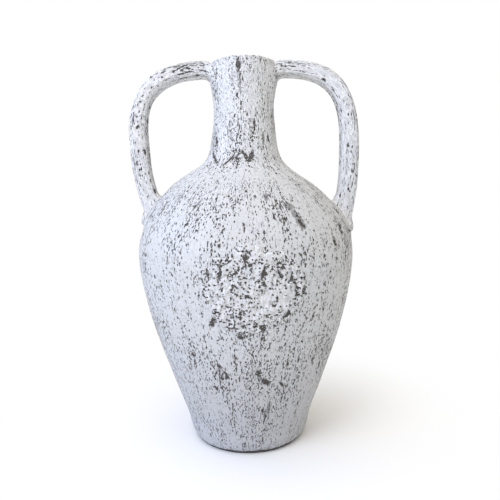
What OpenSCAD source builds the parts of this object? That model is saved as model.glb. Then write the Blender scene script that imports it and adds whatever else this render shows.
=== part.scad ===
// Two-handled amphora of slip-coated clay, about 600 mm tall.
// The wall is thrown in sections that are luted together, the floor is a slab, and the handles are
// pulled by hand and set on with pads of clay.
// Origin at the centre of the underside, +Z up, front towards -Y, handles along X. Millimetres.

/* [Body] */
// Height from the underside to the rim
rim_z = 600; // [590:1:620]
// Radius of the flat underside
base_r = 87; // [80:1:90]
// Radius where the rounded foot turns up into the wall
foot_r = 99; // [95:1:103]
// Radius of the belly at its widest
belly_r = 170; // [165:1:174]
// Height of the widest part of the belly
belly_z = 304; // [295:1:310]
// Radius of the shoulder halfway up its slope
shoulder_r = 100; // [96:1:104]
// Height of that point on the shoulder
shoulder_z = 416; // [412:1:420]
// Outer radius of the neck at its waist
neck_r = 46.5; // [45:0.5:47.5]
// Outer radius at the rim
rim_r = 48; // [46.5:0.5:49]

/* [Clay] */
// Thickness of the thrown wall
wall = 10; // [8:0.5:11]
// Thickness of the slab floor
floor_t = 13; // [11:1:15]
// Radius of the round throat in the neck
throat_r = 35; // [33:0.5:36]
// Height of the coil that makes the lip
lip_h = 12; // [10:1:14]
// Rounding of the lip's two edges
lip_round = 3; // [2:0.5:4]
// Height of the tongue that each wall section lifts into the next
tongue_h = 5; // [3:1:7]
// Leg of the coil pressed into the corner of the floor
coil_leg = 15; // [10:1:18]
// How far the coil behind the neck seam stands out
coil_bulge = 6; // [4:1:8]

/* [Seams] */
// Height of the seam between the lower wall and the belly
belly_seam_z = 158; // [140:1:180]
// Height of the seam between the belly and the shoulder
shoulder_seam_z = 304; // [296:1:312]
// Height of the seam between the shoulder and the neck
neck_seam_z = 462; // [458:1:468]

/* [Handles] */
// Thickness of the left handle's upper run and of its leg
left_thick = [24, 28]; // [22:1:30]
// Thickness of the right handle's upper run and of its leg
right_thick = [25, 30]; // [22:1:30]
// Width of both handles from front to back
handle_w = 34; // [30:1:38]
// Distance from the axis to where a handle's upper run starts
handle_root_x = 61; // [59:1:64]
// Height of the middle of the upper runs
handle_run_z = 588.5; // [584:0.5:590]
// Distance from the axis to the middle of a handle's leg
handle_leg_x = 166.5; // [164:0.5:169]

/* [Front relief] */
// Distance of the relief patch's middle to the right of the axis
patch_x = 8; // [-15:1:15]
// Height of the relief patch's middle
patch_z = 275; // [260:1:285]
// Mean radius of the relief patch
patch_r = 67; // [60:1:72]
// Thickness of the relief patch
patch_t = 3; // [2:0.5:4]

/* [Hidden] */
$fn = 96;

white_slip = [0.85, 0.87, 0.90];
grey_slip = [0.74, 0.75, 0.78];
bare_clay = [0.30, 0.28, 0.27];

// Height where the round throat opens out into the shoulder
throat_z = neck_seam_z + 28;

// A station on a curve: across, up, direction of travel in degrees, reach before it, reach after it.
// On the outline the direction is measured from straight up, leaning out.
OUTLINE = [
    [base_r, 0, 58, 0, 6],
    [foot_r, 26, 4, 8, 30],
    [belly_r, belly_z, 0, 108, 56],
    [shoulder_r, shoulder_z, -56, 22, 56],
    [neck_r + 1.5, 505, -6, 60, 36],
    [rim_r, rim_z, -4, 38, 0]];
outline_steps = [5, 16, 12, 12, 8];

// Handles run out from the neck, turn down and come back in to the shoulder.
// Their direction is measured from straight out, turning up.
LEFT_PATH = [
    [handle_root_x, handle_run_z, 0, 0, 80],
    [handle_leg_x, 488, -90, 65, 41],
    [152.5, 384, -104, 36, 22],
    [146.5, 322, -98, 24, 0]];
RIGHT_PATH = [
    [handle_root_x, handle_run_z, 0, 0, 84],
    [handle_leg_x - 0.5, 462, -90, 90, 38],
    [160, 380, -98, 34, 20],
    [149, 320, -102, 24, 0]];
ring_points = 20;
// Rings along a handle's upper bend, its leg and its foot pad
handle_rings = [14, 8, 6];
// Roundness of a handle's section: 2 is an ellipse, more is squarer
handle_square = 2.6;
// How far the pads spread at the wall, in thickness and in width
upper_spread = [2.0, 1.35];
lower_spread = [1.3, 1.55];

// ---- Curves ----

function across_up(s) = [s[0], s[1]];

function cubic(a, b, c, d, t) =
    pow(1 - t, 3) * a + 3 * t * pow(1 - t, 2) * b + 3 * t * t * (1 - t) * c + t * t * t * d;

function cubic_slope(a, b, c, d, t) =
    3 * pow(1 - t, 2) * (b - a) + 6 * t * (1 - t) * (c - b) + 3 * t * t * (d - c);

// Direction of travel at a station of the outline, and at a station of a handle
function rising(s) = [sin(s[2]), cos(s[2])];
function running(s) = [cos(s[2]), sin(s[2])];

// ---- Outline of the vessel ----

function outline_point(i, t) =
    let (s = OUTLINE[i], e = OUTLINE[i + 1])
    cubic(across_up(s), across_up(s) + s[4] * rising(s), across_up(e) - e[3] * rising(e), across_up(e), t);

outline = concat(
    [for (i = [0:len(outline_steps) - 1], k = [0:outline_steps[i] - 1]) outline_point(i, k / outline_steps[i])],
    [[rim_r, rim_z]]);

// The inside face lies one wall thickness in from the outside, square to it
function outline_turn(i) = outline[min(i + 1, len(outline) - 1)] - outline[max(i - 1, 0)];
function inside_point(i) = outline[i] + wall * [-outline_turn(i)[1], outline_turn(i)[0]] / norm(outline_turn(i));

outer_table = [for (p = outline) [p[1], p[0]]];
inner_table = [for (i = [3:len(outline) - 1]) let (p = inside_point(i)) if (p[1] < throat_z - 14) [p[1], p[0]]];

function outer_r(z) = lookup(z, outer_table);
function inner_r(z) = z >= throat_z ? throat_r : lookup(z, concat(inner_table, [[throat_z, throat_r]]));
function middle_r(z) = (outer_r(z) + inner_r(z)) / 2;

// Heights of the outline's own points between two levels, so that neighbours share their edges
function levels(low, high) = concat([low], [for (p = outline) if (p[1] > low + 1 && p[1] < high - 1) p[1]], [high]);
function reversed(list) = [for (i = [len(list) - 1:-1:0]) list[i]];

// A ring of wall between two levels, with a groove below and a tongue above
module wall_section(low, high) {
    heights = levels(low, high);
    rotate_extrude()
        polygon(concat(
            [for (z = heights) [outer_r(z), z]],
            [[middle_r(high), high + tongue_h]],
            [for (z = reversed(heights)) [inner_r(z), z]],
            [[middle_r(low), low + tongue_h]]));
}

// The vessel as a full solid, swollen by skin
module filled_vessel(skin, low, high) {
    rotate_extrude()
        polygon(concat([[0, low]], [for (z = levels(low, high)) [outer_r(z) + skin, z]], [[0, high]]));
}

// ---- Vessel ----

module base_slab() {
    color(bare_clay)
        rotate_extrude()
            polygon(concat(
                [[0, 0]],
                [for (z = levels(0, floor_t)) [outer_r(z), z]],
                [[middle_r(floor_t), floor_t + tongue_h]],
                [[inner_r(floor_t), floor_t], [0, floor_t]]));
}

module floor_coil() {
    heights = levels(floor_t, floor_t + coil_leg);
    toe_r = inner_r(floor_t) - coil_leg;
    hollow = [toe_r, floor_t + coil_leg];
    color(bare_clay)
        rotate_extrude()
            polygon(concat(
                [for (z = heights) [inner_r(z), z]],
                [for (a = [-15:-15:-75]) hollow + coil_leg * [cos(a), sin(a)]],
                [[toe_r, floor_t]]));
}

module lower_wall() {
    color(white_slip) wall_section(floor_t, belly_seam_z);
}

module belly_wall() {
    color(white_slip) wall_section(belly_seam_z, shoulder_seam_z);
}

module shoulder() {
    color(white_slip) wall_section(shoulder_seam_z, neck_seam_z);
}

module neck_coil() {
    heights = levels(neck_seam_z - 14, neck_seam_z + 14);
    color(grey_slip)
        rotate_extrude()
            polygon(concat(
                [for (z = heights) [inner_r(z), z]],
                [for (a = [-75:15:75])
                    let (z = neck_seam_z - 14 * sin(a))
                    [inner_r(z) - coil_bulge * cos(a), z]]));
}

module neck() {
    color(white_slip) wall_section(neck_seam_z, rim_z - lip_h);
}

module lip_ring() {
    low = rim_z - lip_h;
    color(white_slip)
        rotate_extrude()
            polygon(concat(
                [[outer_r(low), low]],
                [for (a = [0:15:90])
                    [outer_r(rim_z), rim_z] + lip_round * [cos(a) - 1, sin(a) - 1]],
                [for (a = [90:15:180])
                    [throat_r, rim_z] + lip_round * [cos(a) + 1, sin(a) - 1]],
                [[throat_r, low], [middle_r(low), low + tongue_h]]));
}

// ---- Handles ----

function path_point(path, i, t) =
    let (s = path[i], e = path[i + 1])
    cubic(across_up(s), across_up(s) + s[4] * running(s), across_up(e) - e[3] * running(e), across_up(e), t);

function path_way(path, i, t) =
    let (s = path[i], e = path[i + 1])
    let (way = cubic_slope(
        across_up(s), across_up(s) + s[4] * running(s), across_up(e) - e[3] * running(e), across_up(e), t))
    way / norm(way);

function softened(x) = sign(x) * pow(abs(x), 2 / handle_square);

// One ring of a handle: a rounded strap section square to the path
function ring(centre, way, thick, width) = [
    for (k = [0:ring_points - 1])
        let (a = 360 * k / ring_points)
        let (out = centre + thick / 2 * softened(cos(a)) * [-way[1], way[0]])
        [out[0], width / 2 * softened(sin(a)), out[1]]];

// A solid through a row of rings
module sweep(rings) {
    n = ring_points;
    last = len(rings) - 1;
    polyhedron(
        points = [for (r = rings) each r],
        faces = concat(
            [[for (k = [n - 1:-1:0]) k]],
            [for (j = [0:last - 1], k = [0:n - 1]) let (m = (k + 1) % n) [j * n + k, j * n + m, j * n + n + k]],
            [for (j = [0:last - 1], k = [0:n - 1]) let (m = (k + 1) % n) [j * n + m, j * n + n + m, j * n + n + k]],
            [[for (k = [0:n - 1]) last * n + k]]));
}

// The free part of a handle, from its neck pad to its shoulder pad
module handle(path, thick) {
    bend = [for (k = [0:handle_rings[0] - 1])
        let (t = k / handle_rings[0])
        ring(path_point(path, 0, t), path_way(path, 0, t), thick[0] + (thick[1] - thick[0]) * t, handle_w)];
    leg = [for (k = [0:handle_rings[1]])
        let (t = k / handle_rings[1])
        ring(path_point(path, 1, t), path_way(path, 1, t), thick[1], handle_w)];
    sweep(concat(bend, leg));
}

// The pad of clay that fills the corner between the neck and a handle's upper run
module upper_pad(thick) {
    start_x = throat_r + 4;
    top_z = handle_run_z + thick[0] / 2;
    difference() {
        sweep([for (k = [0:6])
            let (t = k / 6, x = start_x + (handle_root_x - start_x) * t)
            let (spread = 1 + (upper_spread[0] - 1) * pow(1 - t, 2), w = 1 + (upper_spread[1] - 1) * pow(1 - t, 2))
            ring([x, top_z - spread * thick[0] / 2], [1, 0], spread * thick[0], w * handle_w)]);
        filled_vessel(0, 400, rim_z);
    }
}

// The pad of clay that spreads a handle's leg onto the shoulder
module lower_pad(path, thick) {
    difference() {
        sweep([for (k = [0:handle_rings[2]])
            let (t = k / handle_rings[2])
            let (spread = 1 + (lower_spread[0] - 1) * t, w = 1 + (lower_spread[1] - 1) * t)
            ring(path_point(path, 2, t), path_way(path, 2, t), spread * thick[1], w * handle_w)]);
        filled_vessel(0, 200, 500);
    }
}

module handle_left() {
    color(white_slip) mirror([1, 0, 0]) handle(LEFT_PATH, left_thick);
}

module handle_left_upper_pad() {
    color(grey_slip) mirror([1, 0, 0]) upper_pad(left_thick);
}

module handle_left_lower_pad() {
    color(grey_slip) mirror([1, 0, 0]) lower_pad(LEFT_PATH, left_thick);
}

module handle_right() {
    color(white_slip) handle(RIGHT_PATH, right_thick);
}

module handle_right_upper_pad() {
    color(grey_slip) upper_pad(right_thick);
}

module handle_right_lower_pad() {
    color(grey_slip) lower_pad(RIGHT_PATH, right_thick);
}

// ---- Front relief ----

// A rough, uneven patch of coarse clay pressed onto the front of the belly
module front_relief() {
    low = patch_z - patch_r - 20;
    high = patch_z + patch_r + 20;
    ragged = [for (a = [0:12:348])
        let (reach = patch_r + 4 * cos(2 * a + 20) + 3 * cos(3 * a - 60) + 2 * cos(7 * a))
        [patch_x, patch_z] + reach * [cos(a), sin(a)]];
    color(grey_slip)
        difference() {
            intersection() {
                filled_vessel(patch_t, low, high);
                rotate([90, 0, 0]) linear_extrude(height = belly_r + 20) polygon(ragged);
            }
            filled_vessel(0, low - 10, high + 10);
        }
}

base_slab();
floor_coil();
lower_wall();
belly_wall();
shoulder();
neck_coil();
neck();
lip_ring();
handle_left();
handle_left_upper_pad();
handle_left_lower_pad();
handle_right();
handle_right_upper_pad();
handle_right_lower_pad();
front_relief();
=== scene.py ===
"""Looks of a two-handled clay amphora in a worn white slip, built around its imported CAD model.

Metres, +Z up, front towards -Y, handles along X. Every piece takes the place of the CAD node of its name.
"""
from itertools import product
from math import pi, radians

import bpy
import numpy as np
from mathutils import Matrix, Vector


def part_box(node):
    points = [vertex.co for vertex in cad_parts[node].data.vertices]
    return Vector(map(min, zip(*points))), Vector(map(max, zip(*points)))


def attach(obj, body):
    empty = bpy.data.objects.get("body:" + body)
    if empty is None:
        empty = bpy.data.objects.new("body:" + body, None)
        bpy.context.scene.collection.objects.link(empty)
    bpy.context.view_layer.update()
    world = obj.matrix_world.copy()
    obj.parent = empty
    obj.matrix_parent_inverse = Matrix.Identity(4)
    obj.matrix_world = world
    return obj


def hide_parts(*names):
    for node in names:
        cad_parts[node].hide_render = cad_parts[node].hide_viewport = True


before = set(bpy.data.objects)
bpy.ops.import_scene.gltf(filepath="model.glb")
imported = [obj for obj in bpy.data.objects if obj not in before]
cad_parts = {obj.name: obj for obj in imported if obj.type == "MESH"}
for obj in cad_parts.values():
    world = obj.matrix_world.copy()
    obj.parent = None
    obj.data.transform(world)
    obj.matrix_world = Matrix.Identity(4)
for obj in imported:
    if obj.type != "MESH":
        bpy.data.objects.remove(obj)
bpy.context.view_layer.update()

# ---- Sizes ----

FLOOR_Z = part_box("lower_wall")[0].z
BELLY_SEAM_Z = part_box("belly_wall")[0].z
SHOULDER_SEAM_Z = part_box("shoulder")[0].z
NECK_SEAM_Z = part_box("neck")[0].z
LIP_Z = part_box("lip_ring")[0].z
RIM_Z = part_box("lip_ring")[1].z
RIM_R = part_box("lip_ring")[1].x
BELLY_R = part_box("belly_wall")[1].x
COIL_TOP_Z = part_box("floor_coil")[1].z

WALL = 0.010
THROAT_R = 0.035
THROAT_Z = NECK_SEAM_Z + 0.028
TONGUE_H = 0.005
LIP_ROUND = 0.0035
BASE_R = 0.087
SLAB_EYE_R = 0.004
COIL_SUNK = 0.001
NECK_COIL_OUT = 0.006

# Stations of the outline: radius, height, lean from upright in degrees, reach before, reach after
OUTLINE = (
    (BASE_R, 0, 58, 0, 0.006),
    (0.099, 0.026, 4, 0.008, 0.03),
    (BELLY_R, 0.304, 0, 0.108, 0.056),
    (0.1, 0.416, -56, 0.022, 0.056),
    (0.048, 0.505, -6, 0.06, 0.036),
    (RIM_R, RIM_Z, -4, 0.038, 0),
)

# Stations of a handle's centre line: out from the axis, height, direction from straight out, reaches
HANDLE_ROOT_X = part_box("handle_right")[0].x
RUN_Z = 0.5885
LEFT_PATH = (
    (HANDLE_ROOT_X, RUN_Z, 0, 0, 0.08),
    (0.1665, 0.488, -90, 0.065, 0.041),
    (0.1525, 0.384, -104, 0.036, 0.022),
    (0.1465, 0.322, -98, 0.024, 0),
)
RIGHT_PATH = (
    (HANDLE_ROOT_X, RUN_Z, 0, 0, 0.084),
    (0.166, 0.462, -90, 0.09, 0.038),
    (0.16, 0.38, -98, 0.034, 0.02),
    (0.149, 0.32, -102, 0.024, 0),
)
LEFT_THICK = (0.024, 0.028)
RIGHT_THICK = (0.025, 0.030)
HANDLE_W = 0.034
HANDLE_SQUARE = 3.2
UPPER_SPREAD = (2.0, 1.35)
LOWER_SPREAD = (1.3, 1.55)

# Where a handle meets the wall: fillets, and the lip, waist and toe on the outer side of its foot
FILLET = 0.017
FOOT_FILLET = 0.030
FOOT_LIP = 0.0024
FOOT_WAIST = 0.0020
FOOT_SUNK = 0.0040
TOE_ROUND = 0.006
LEFT_NOTCH_Z = 0.346
RIGHT_NOTCH_Z = 0.330
FOOT_KEPT_CLEAR = 0.012
BURIED = 0.004

# The crease between the rim and the top of a handle
CREASE = 0.0034
CREASE_OUT = 0.0025
CREASE_WIDE = 0.0028

# Fineness of the meshes
COLUMNS = 640
NECK_COLUMNS = 260
SLAB_COLUMNS = 480
COIL_COLUMNS = 220
SLAB_UNDER_ROWS = 30
SLAB_TOP_ROWS = 16
RING_POINTS = 76
STUB_RINGS = 14
PATH_RINGS = (110, 66, 46)
ROW_STEP = 0.0019
INNER_STEP = 0.005
SHARP_ANGLE = radians(65)

# Radii at which the slip's marks are drawn for the belly, the neck and the handles
WIDE_R = 0.140
NARROW_R = 0.062
NECK_FINER = 1.2
HANDLE_R = 0.017


# ---- Numbers: noise, curves, small helpers ----

def scrambled(at, seed):
    """A value from -1 to 1 for each whole-number place, the same every time."""
    key = at[..., 0] * 73856093 ^ at[..., 1] * 19349663
    key = key ^ at[..., 2] * 83492791 ^ seed * 2654435761
    key = (key ^ (key >> 13)) * 1274126177 & 0xFFFFFFFF
    key = (key ^ (key >> 16)) * 2246822519 & 0xFFFFFFFF
    return (key >> 8 & 0xFFFF) / 32767.5 - 1.0


def noise(points, seed):
    """Smooth noise from -1 to 1, one lattice cell to the unit."""
    cell = np.floor(points).astype(np.int64)
    t = points - cell
    t = t * t * t * (t * (t * 6 - 15) + 10)
    total = np.zeros(points.shape[:-1])
    for corner in product((0, 1), repeat=3):
        value = scrambled(cell + np.array(corner), seed)
        weight = np.prod(np.where(np.array(corner) == 1, t, 1 - t), axis=-1)
        total += weight * value
    return total


def layered(points, seed, layers):
    """Noise in several layers, each half as large and half as strong as the one before."""
    return sum(0.5 ** layer * noise(points * 2 ** layer, seed + layer) for layer in range(layers))


def nearest_seed(across, up, size, seed):
    """Distance to the nearest of scattered points, in units of size."""
    spot = np.stack([across, up], axis=-1) / size
    home = np.floor(spot)
    near = np.full(across.shape, 9.0)
    for step in product((-1, 0, 1), repeat=2):
        at = home + np.array(step)
        key = np.stack([at[..., 0], at[..., 1], np.zeros(across.shape)], axis=-1)
        jitter = np.stack([noise(key, seed), noise(key, seed + 1)], axis=-1)
        near = np.minimum(near, np.linalg.norm(at + 0.5 + 0.45 * jitter - spot, axis=-1))
    return near


def ramp(value, low, high):
    """Rises smoothly from 0 to 1 as value goes from low to high."""
    t = np.clip((value - low) / (high - low), 0, 1)
    return t * t * (3 - 2 * t)


def stretch(start, end, heading, t):
    """Points of a cubic curve between two stations."""
    a, d = np.array(start[:2]), np.array(end[:2])
    b = a + start[4] * heading(start[2])
    c = d - end[3] * heading(end[2])
    t = t[:, None]
    return (1 - t) ** 3 * a + 3 * t * (1 - t) ** 2 * b + 3 * t * t * (1 - t) * c + t ** 3 * d


def turning(angle):
    """Direction at an angle from straight out."""
    return np.array([np.cos(radians(angle)), np.sin(radians(angle))])


def leaning(angle):
    """Direction at an angle from upright."""
    return turning(angle)[::-1]


def lengths(points):
    """Length along a line up to each of its points."""
    return np.r_[0, np.cumsum(np.linalg.norm(np.diff(points, axis=0), axis=1))]


def directions(points):
    way = np.gradient(points, axis=0)
    return way / np.linalg.norm(way, axis=1)[:, None]


def around(columns):
    """Turns from the front (-Y), growing towards +X."""
    return np.arange(columns) * 2 * pi / columns


def on_wall(turn, radius, z):
    """Points at a turn, a radius and a height."""
    return np.stack([np.sin(turn) * radius, -np.cos(turn) * radius, z], axis=-1)


def outline_tables():
    """Radius, height, length along and direction of the whole outline, from the foot up."""
    t = np.linspace(0, 1, 160, endpoint=False)
    parts = [stretch(a, b, leaning, t) for a, b in zip(OUTLINE, OUTLINE[1:])]
    line = np.concatenate([*parts, [[RIM_R, RIM_Z]]])
    return line[:, 0], line[:, 1], lengths(line), directions(line)


OUT_R, OUT_Z, OUT_S, OUT_WAY = outline_tables()


def outer_r(z):
    return np.interp(z, OUT_Z, OUT_R)


def along_at(z):
    return np.interp(z, OUT_Z, OUT_S)


def inner_r(z):
    """Radius of the inside: one wall in from the outside, and a round throat in the neck."""
    in_r = OUT_R - WALL * OUT_WAY[:, 1]
    in_z = OUT_Z + WALL * OUT_WAY[:, 0]
    keep = (in_z > 0.002) & (in_z < THROAT_Z - 0.014) & (OUT_S > 0.02)
    r = np.interp(z, np.append(in_z[keep], THROAT_Z), np.append(in_r[keep], THROAT_R))
    return np.where(z >= THROAT_Z, THROAT_R, r)


# ---- Where the slip has come away ----

# Flakes: turn from the front in degrees, height, half length, half width, lean in degrees
FLAKES = (
    # Neck and its foot
    (-8, 0.588, 0.007, 0.0035, 0),
    (18, 0.498, 0.009, 0.0018, 3),
    (15, 0.488, 0.003, 0.0027, 0),
    (46, 0.481, 0.004, 0.0022, 0),
    (-55, 0.479, 0.006, 0.0034, -15),
    (-48, 0.45, 0.018, 0.0026, -46),
    (-23, 0.447, 0.013, 0.0014, 31),
    (9, 0.453, 0.01, 0.0036, 20),
    (2, 0.453, 0.009, 0.0028, -30),
    (-1, 0.566, 0.004, 0.0012, 0),
    (-12, 0.544, 0.0035, 0.0017, 0),
    (-5, 0.531, 0.0035, 0.0016, 0),
    (-6, 0.523, 0.0022, 0.0016, 0),
    (6, 0.516, 0.003, 0.0014, 0),
    (-17, 0.514, 0.003, 0.0014, 0),
    # Shoulder
    (72, 0.369, 0.01, 0.003, -62),
    (19, 0.389, 0.01, 0.0015, 3),
    (15, 0.37, 0.0045, 0.0017, 0),
    (-1, 0.357, 0.0075, 0.0016, -5),
    (29.4, 0.359, 0.005, 0.0018, -26),
    (61, 0.35, 0.006, 0.0036, 0),
    (49, 0.328, 0.006, 0.0026, -29),
    # Belly and foot
    (-17, 0.229, 0.0085, 0.0035, 23),
    (7, 0.222, 0.005, 0.0036, -42),
    (30, 0.231, 0.007, 0.0014, -20),
    (-4, 0.208, 0.007, 0.0034, -59),
    (-17, 0.16, 0.0065, 0.0026, -54),
    (42, 0.154, 0.007, 0.002, -20),
    (6, 0.148, 0.0085, 0.0034, -20),
    (-13, 0.145, 0.007, 0.0022, -12),
    (52, 0.14, 0.009, 0.002, -14),
    (10, 0.135, 0.01, 0.0042, -55),
    (21, 0.127, 0.0075, 0.002, -36),
    (-21, 0.121, 0.0055, 0.0026, -31),
    (10, 0.082, 0.006, 0.002, 7),
    (12, 0.066, 0.008, 0.0014, 4),
)

# Scuffs, where the slip is rubbed thin but not gone
SCUFFS = (
    (25.6, 0.382, 0.008, 0.0064, -18),
    (27.2, 0.372, 0.008, 0.0058, -18),
    (29.2, 0.36, 0.01, 0.0062, -18),
    (13, 0.395, 0.008, 0.003, 10),
    (-30, 0.385, 0.012, 0.0022, 22),
    (-14, 0.452, 0.012, 0.002, 50),
    (-6, 0.56, 0.016, 0.0014, 0),
    (34, 0.48, 0.008, 0.0022, 0),
    (14, 0.085, 0.014, 0.003, 0),
)

# Zones with more wear (positive) or less: turn in degrees, height, reach, amount
WORN_ZONES = (
    # Neck and its foot
    (-6, 0.548, 0.034, -0.3),
    (42, 0.54, 0.04, -0.45),
    (10, 0.54, 0.025, -0.25),
    (-50, 0.458, 0.03, 0.9),
    (5, 0.445, 0.018, 0.5),
    (14, 0.474, 0.01, 0.5),
    # Shoulder
    (20, 0.422, 0.04, -0.5),
    (-60, 0.415, 0.03, -0.5),
    (-40, 0.385, 0.04, -0.1),
    (25, 0.372, 0.025, 0.7),
    (45, 0.385, 0.04, -0.5),
    # Calmer slip around the front relief
    (-5, 0.35, 0.016, -0.6),
    (14, 0.345, 0.014, -0.6),
    (-24, 0.34, 0.018, -0.8),
    (-31, 0.3, 0.016, -0.8),
    (-31, 0.265, 0.016, -0.8),
    (-26, 0.232, 0.018, -0.8),
    (-6, 0.2, 0.018, -0.7),
    (14, 0.212, 0.016, -0.7),
    (28, 0.255, 0.014, -0.5),
    (-62, 0.33, 0.05, -0.4),
    # Belly and foot
    (-42, 0.235, 0.045, -0.5),
    (40, 0.28, 0.035, -0.35),
    (5, 0.205, 0.03, 0.2),
    (-20, 0.15, 0.04, 0.25),
    (8, 0.145, 0.035, 0.8),
    (-20, 0.155, 0.012, 0.5),
    (-19, 0.118, 0.012, 0.6),
    (14, 0.078, 0.02, 0.6),
    (12, 0.06, 0.025, 0.3),
    (0, 0.045, 0.05, 0.35),
    (-42, 0.075, 0.055, -0.6),
    (42, 0.05, 0.04, -0.7),
    # Sides and back
    (110, 0.25, 0.05, 0.4),
    (150, 0.36, 0.05, 0.6),
    (200, 0.18, 0.06, 0.5),
    (235, 0.4, 0.04, 0.5),
    (180, 0.5, 0.03, 0.5),
    (130, 0.1, 0.06, -0.5),
    (215, 0.3, 0.06, -0.5),
    (165, 0.27, 0.04, -0.4),
    (90, 0.43, 0.03, -0.4),
    (250, 0.08, 0.05, 0.4),
)

# Swellings of the hand-thrown wall: turn in degrees, height, reach, how far it stands out
SWELLINGS = (
    (-88, 0.412, 0.078, 0.0068),
    (-80, 0.29, 0.045, 0.0012),
)

# Flakes scattered where the front's own list doesn't reach
BACK_FLAKES = 46
BACK_SEED = 7


def scattered_flakes():
    """Flakes on the sides and the back, drawn at random like those on the front."""
    draw = np.random.default_rng(BACK_SEED)
    turn = draw.uniform(75, 285, BACK_FLAKES)
    height = draw.uniform(0.030, 0.570, BACK_FLAKES)
    long = draw.uniform(0.0035, 0.0100, BACK_FLAKES)
    wide = long * draw.uniform(0.18, 0.42, BACK_FLAKES)
    lean = draw.normal(0, 35, BACK_FLAKES)
    return list(zip(turn, height, long, wide, lean))


def half_turn(turn):
    """The same turn, from -pi to pi."""
    return (turn + pi) % (2 * pi) - pi


def surface_away(turn, along, radius, mark_turn, mark_z):
    """Distances across and along the wall from a mark."""
    return half_turn(turn - radians(mark_turn)) * radius, along - along_at(mark_z)


def mark(across, up, half_length, half_width, lean):
    """1 in the heart of an oval mark, 0.65 at its edge, 0 at twice its size."""
    c, s = turning(lean)
    away = np.hypot((across * c - up * s) / half_width, (across * s + up * c) / half_length)
    return np.clip(1.3 - 0.65 * away, 0, 1)


def frayed(field, ragged, amount=0.15):
    """A field of marks with its edges made ragged."""
    return np.clip(field + amount * ragged * (field > 0.02), 0, 1)


def marked(marks, turn, along, radius, ragged):
    """1 in the heart of each mark on the wall, falling to 0 around it."""
    field = np.zeros(turn.shape)
    for mark_turn, z, half_length, half_width, lean in marks:
        across, up = surface_away(turn, along, radius, mark_turn, z)
        field = np.maximum(field, mark(across, up, half_length, half_width, lean))
    return frayed(field, ragged)


def humps(zones, turn, along, radius):
    """Sum of smooth humps, each with its place, reach and height."""
    field = np.zeros(turn.shape)
    for hump_turn, z, reach, amount in zones:
        across, up = surface_away(turn, along, radius, hump_turn, z)
        field += amount * np.exp(-(across ** 2 + up ** 2) / reach ** 2)
    return field


ALL_FLAKES = list(FLAKES) + scattered_flakes()


# ---- Meshes ----

def placed(name, data):
    """A new object in the scene."""
    made = bpy.data.objects.new(name, data)
    bpy.context.scene.collection.objects.link(made)
    return made


def add_piece(name, verts, quads, caps, material, fields):
    """A closed mesh with its attributes, in the place of the CAD node of its name."""
    mesh = bpy.data.meshes.new(name)
    count = verts.size // 3
    mesh.vertices.add(count)
    mesh.vertices.foreach_set("co", verts.astype(np.float32).ravel())
    corners = np.concatenate([quads.ravel(), *caps]).astype(np.int32)
    sizes = np.array([4] * len(quads) + [len(cap) for cap in caps])
    starts = np.cumsum(sizes) - sizes
    mesh.loops.add(len(corners))
    mesh.loops.foreach_set("vertex_index", corners)
    mesh.polygons.add(len(sizes))
    mesh.polygons.foreach_set("loop_start", starts.astype(np.int32))
    mesh.update(calc_edges=True)
    mesh.shade_smooth()
    mesh.set_sharp_from_angle(angle=SHARP_ANGLE)
    for key, values in fields.items():
        kind, slot_name = ("FLOAT_VECTOR", "vector") if values.size > count else ("FLOAT", "value")
        layer = mesh.attributes.new(key, kind, "POINT")
        layer.data.foreach_set(slot_name, values.astype(np.float32).ravel())
    mesh.materials.append(material)
    piece = placed(name, mesh)
    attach(piece, "root")
    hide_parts(name)


def ring_faces(rows, columns, closed):
    """Quads between neighbouring rings, and from the last ring to the first when closed."""
    index = np.arange(rows * columns).reshape(rows, columns)
    beside, above = np.roll(index, -1, axis=1), np.roll(index, -1, axis=0)
    quads = np.stack([index, beside, np.roll(beside, -1, axis=0), above], axis=-1)
    return quads[:rows if closed else rows - 1].reshape(-1, 4)


def to_handles(x, y, z):
    """Distance to the nearest handle, for the wall's fillets. Longer on a foot's outer side."""
    best = np.full(x.shape, 1.0)
    for side, line in ((-1, LEFT_LINE), (1, RIGHT_LINE)):
        for k in line["near_wall"]:
            centre, way = line["centre"][k], line["way"][k]
            out, up = side * x - centre[0], z - centre[1]
            off = up * way[0] - out * way[1]
            run = out * way[0] + up * way[1]
            half, wide = line["thick"][k] / 2, line["width"][k] / 2
            ring = np.abs(off / half) ** HANDLE_SQUARE + np.abs(y / wide) ** HANDLE_SQUARE
            ring = ring ** (1 / HANDLE_SQUARE)
            away = np.hypot((ring - 1) * min(half, wide), run * 0.9)
            away = np.where(np.abs(run) < 0.02, away, 1.0)
            away = np.where(ring < 1, np.abs(run) * 0.9, away)
            clear = FOOT_KEPT_CLEAR * ramp(off / half, 0.5, 1.0) * (way[1] < -0.5)
            best = np.minimum(best, away + clear)
    return best


def end_caps(rows, columns):
    """The corners that close the first and the last ring."""
    return [np.arange(columns)[::-1], np.arange((rows - 1) * columns, rows * columns)]


def revolved(radius, height, columns):
    """Turns, radii and heights of every point of a section carried round the axis."""
    return np.broadcast_arrays(around(columns), radius[:, None], height[:, None])


def fillet(away, reach=FILLET):
    """How far a fillet of this reach stands out, at a distance from the other surface."""
    return np.clip(reach - away, 0, None) ** 2 / (4 * reach)


def below_lip(z):
    """1 under the lip and 0 on it, where the handles meet the rim in a crease and not in a fillet."""
    return 1 - ramp(z, RIM_Z - 0.016, RIM_Z - 0.007)


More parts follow.
